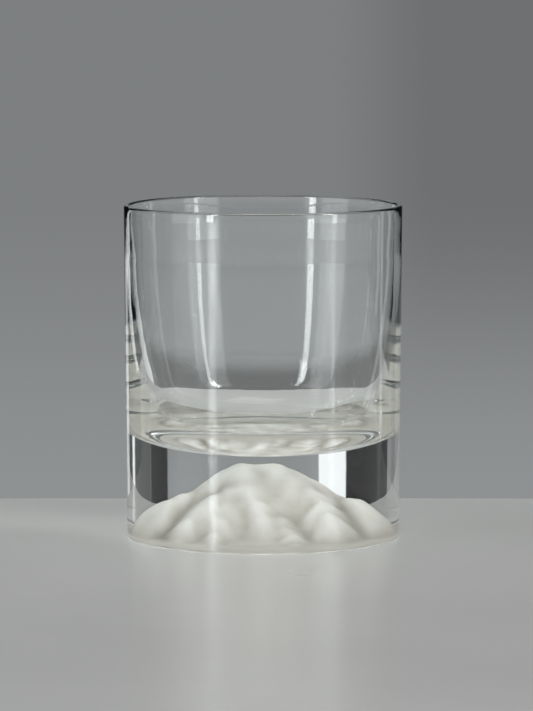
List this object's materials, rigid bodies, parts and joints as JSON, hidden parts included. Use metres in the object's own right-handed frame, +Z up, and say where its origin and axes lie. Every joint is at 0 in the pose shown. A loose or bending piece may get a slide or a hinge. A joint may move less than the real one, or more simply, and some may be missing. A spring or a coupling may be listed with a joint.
{
  "type": "whiskey tumbler",
  "caption": "Straight-sided clear glass tumbler with a thick solid base and a frosted mountain relief pressed up into the base from underneath.",
  "frame": {"origin": "centre of the foot, on the plane that the tumbler stands on", "axes": "+Z up along the axis of the glass; -Y is the front, from which the mountain's skyline runs from left to right along X"},
  "size_m": [0.084, 0.084, 0.101],
  "materials": {
    "clear_glass": "clear, fire-polished crystal",
    "frosted_glass": "white, matt, sandblasted"
  },
  "bodies": {
    "root": {"bowl": "clear_glass", "base_block": "clear_glass", "mountain_relief": "frosted_glass"}
  },
  "joints": []
}
